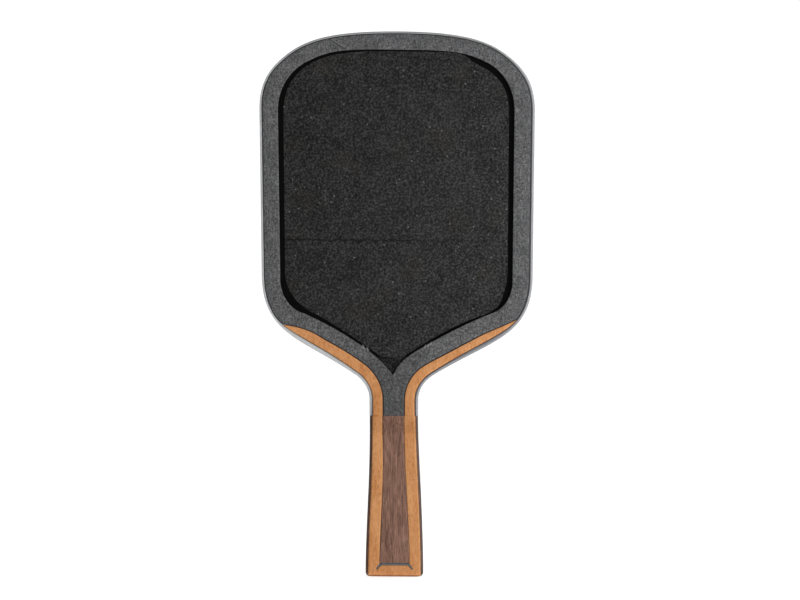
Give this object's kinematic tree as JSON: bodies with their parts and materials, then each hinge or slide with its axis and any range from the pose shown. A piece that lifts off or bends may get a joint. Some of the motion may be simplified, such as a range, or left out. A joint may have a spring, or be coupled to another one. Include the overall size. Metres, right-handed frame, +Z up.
{
  "type": "pickleball paddle",
  "caption": "Pickleball paddle with a rounded rectangular head, a grit face inside a raised frame, and a walnut and cork handle that flares at the butt.",
  "frame": {"origin": "centre of the butt's end face, at the bottom of the handle", "axes": "+X to the right seen from the front, +Z up the paddle from butt to crown, -Y out of the front face"},
  "size_m": [0.2044, 0.027, 0.404],
  "materials": {
    "honeycomb": "matte",
    "foam": "matte",
    "spine": "matte",
    "laminate": "satin",
    "grit": "matte",
    "composite": "matte",
    "band": "satin",
    "cork": "matte",
    "walnut": "satin",
    "accent": "satin"
  },
  "bodies": {
    "root": {"honeycomb_core": "honeycomb", "perimeter_foam": "foam", "handle_spine": "spine", "edge_band": "band", "front_face_sheet": "laminate", "back_face_sheet": "laminate", "front_grit_film": "grit", "back_grit_film": "grit", "front_frame_plate": "composite", "back_frame_plate": "composite", "front_right_shoulder_strip": "cork", "front_left_shoulder_strip": "cork", "back_left_shoulder_strip": "cork", "back_right_shoulder_strip": "cork", "front_handle_core": "foam", "back_handle_core": "foam", "front_cork_frame": "cork", "back_cork_frame": "cork", "front_walnut_panel": "walnut", "back_walnut_panel": "walnut", "front_accent_inlay": "accent", "back_accent_inlay": "accent", "right_side_rail": "walnut", "left_side_rail": "walnut", "butt_plug": "walnut"}
  },
  "joints": []
}
